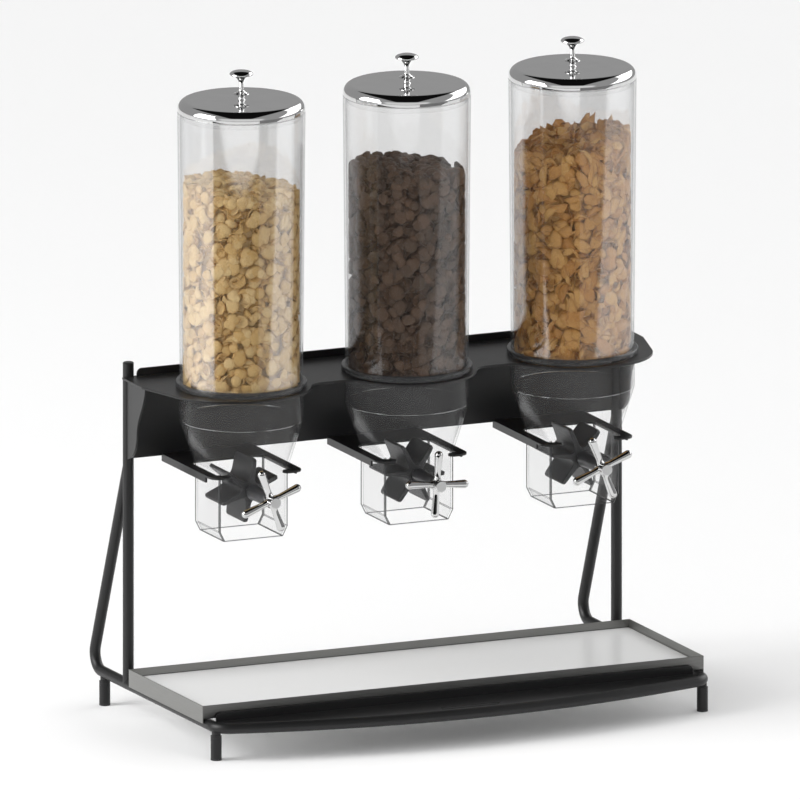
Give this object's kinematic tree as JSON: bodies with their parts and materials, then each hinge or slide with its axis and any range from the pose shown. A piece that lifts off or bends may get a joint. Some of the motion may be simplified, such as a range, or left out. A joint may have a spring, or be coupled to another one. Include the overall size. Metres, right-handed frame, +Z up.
{
  "type": "cereal dispenser",
  "caption": "Counter-top cereal dispenser: clear lidded canisters on a black rod stand, each with a hand-turned paddle wheel above a removable crumb tray.",
  "frame": {"origin": "on the table under the middle of the stand's box", "axes": "+X to the right-hand end seen from the front, +Y to the back, +Z up"},
  "size_m": [0.594, 0.3794, 0.727],
  "materials": {
    "black_rod": "satin black powder coat on steel rod",
    "black_sheet": "satin black powder coat on sheet steel",
    "foot_rubber": "matt",
    "stainless": "brushed walls, polished floor",
    "clear_plastic": "clear polished",
    "bush_plastic": "satin",
    "lid_chrome": "polished",
    "handle_chrome": "polished",
    "axle_steel": "ground",
    "wheel_rubber": "satin"
  },
  "bodies": {
    "stand": {"left_side_rail": "black_rod", "right_side_rail": "black_rod", "front_bow": "black_rod", "left_post": "black_rod", "right_post": "black_rod", "feet": "black_rod", "foot_pads": "foot_rubber", "fascia_plate": "black_sheet", "back_panel": "black_sheet", "left_gusset": "black_sheet", "right_gusset": "black_sheet", "shelf_plate": "black_sheet", "left_fork": "black_sheet", "middle_fork": "black_sheet", "right_fork": "black_sheet", "left_hopper": "clear_plastic", "left_front_bush": "bush_plastic", "left_rear_bush": "bush_plastic", "middle_hopper": "clear_plastic", "middle_front_bush": "bush_plastic", "middle_rear_bush": "bush_plastic", "right_hopper": "clear_plastic", "right_front_bush": "bush_plastic", "right_rear_bush": "bush_plastic"},
    "tray_body": {"crumb_tray": "stainless"},
    "left_canister_body": {"left_canister": "clear_plastic"},
    "left_lid_body": {"left_lid": "lid_chrome", "left_knob": "lid_chrome", "left_knob_screw": "axle_steel"},
    "left_wheel_body": {"left_wheel": "wheel_rubber", "left_axle": "axle_steel", "left_axle_clip": "axle_steel", "left_handle": "handle_chrome"},
    "middle_canister_body": {"middle_canister": "clear_plastic"},
    "middle_lid_body": {"middle_lid": "lid_chrome", "middle_knob": "lid_chrome", "middle_knob_screw": "axle_steel"},
    "middle_wheel_body": {"middle_wheel": "wheel_rubber", "middle_axle": "axle_steel", "middle_axle_clip": "axle_steel", "middle_handle": "handle_chrome"},
    "right_canister_body": {"right_canister": "clear_plastic"},
    "right_lid_body": {"right_lid": "lid_chrome", "right_knob": "lid_chrome", "right_knob_screw": "axle_steel"},
    "right_wheel_body": {"right_wheel": "wheel_rubber", "right_axle": "axle_steel", "right_axle_clip": "axle_steel", "right_handle": "handle_chrome"}
  },
  "joints": [
    {"name": "tray_lift", "type": "slide", "parent": "stand", "child": "tray_body", "axis": [0, 0, 1], "range_m": [0, 0.12]},
    {"name": "left_canister_lift", "type": "slide", "parent": "stand", "child": "left_canister_body", "axis": [0, 0, 1], "range_m": [0, 0.1]},
    {"name": "left_lid_lift", "type": "slide", "parent": "left_canister_body", "child": "left_lid_body", "axis": [0, 0, 1], "range_m": [0, 0.08]},
    {"name": "left_wheel_turn", "type": "hinge", "parent": "stand", "child": "left_wheel_body", "pos_m": [-0.196, 0.00525, 0.2656], "axis": [0, -1, 0], "continuous": true},
    {"name": "middle_canister_lift", "type": "slide", "parent": "stand", "child": "middle_canister_body", "axis": [0, 0, 1], "range_m": [0, 0.1]},
    {"name": "middle_lid_lift", "type": "slide", "parent": "middle_canister_body", "child": "middle_lid_body", "axis": [0, 0, 1], "range_m": [0, 0.08]},
    {"name": "middle_wheel_turn", "type": "hinge", "parent": "stand", "child": "middle_wheel_body", "pos_m": [0, 0.00525, 0.2656], "axis": [0, -1, 0], "continuous": true},
    {"name": "right_canister_lift", "type": "slide", "parent": "stand", "child": "right_canister_body", "axis": [0, 0, 1], "range_m": [0, 0.1]},
    {"name": "right_lid_lift", "type": "slide", "parent": "right_canister_body", "child": "right_lid_body", "axis": [0, 0, 1], "range_m": [0, 0.08]},
    {"name": "right_wheel_turn", "type": "hinge", "parent": "stand", "child": "right_wheel_body", "pos_m": [0.196, 0.00525, 0.2656], "axis": [0, -1, 0], "continuous": true}
  ]
}
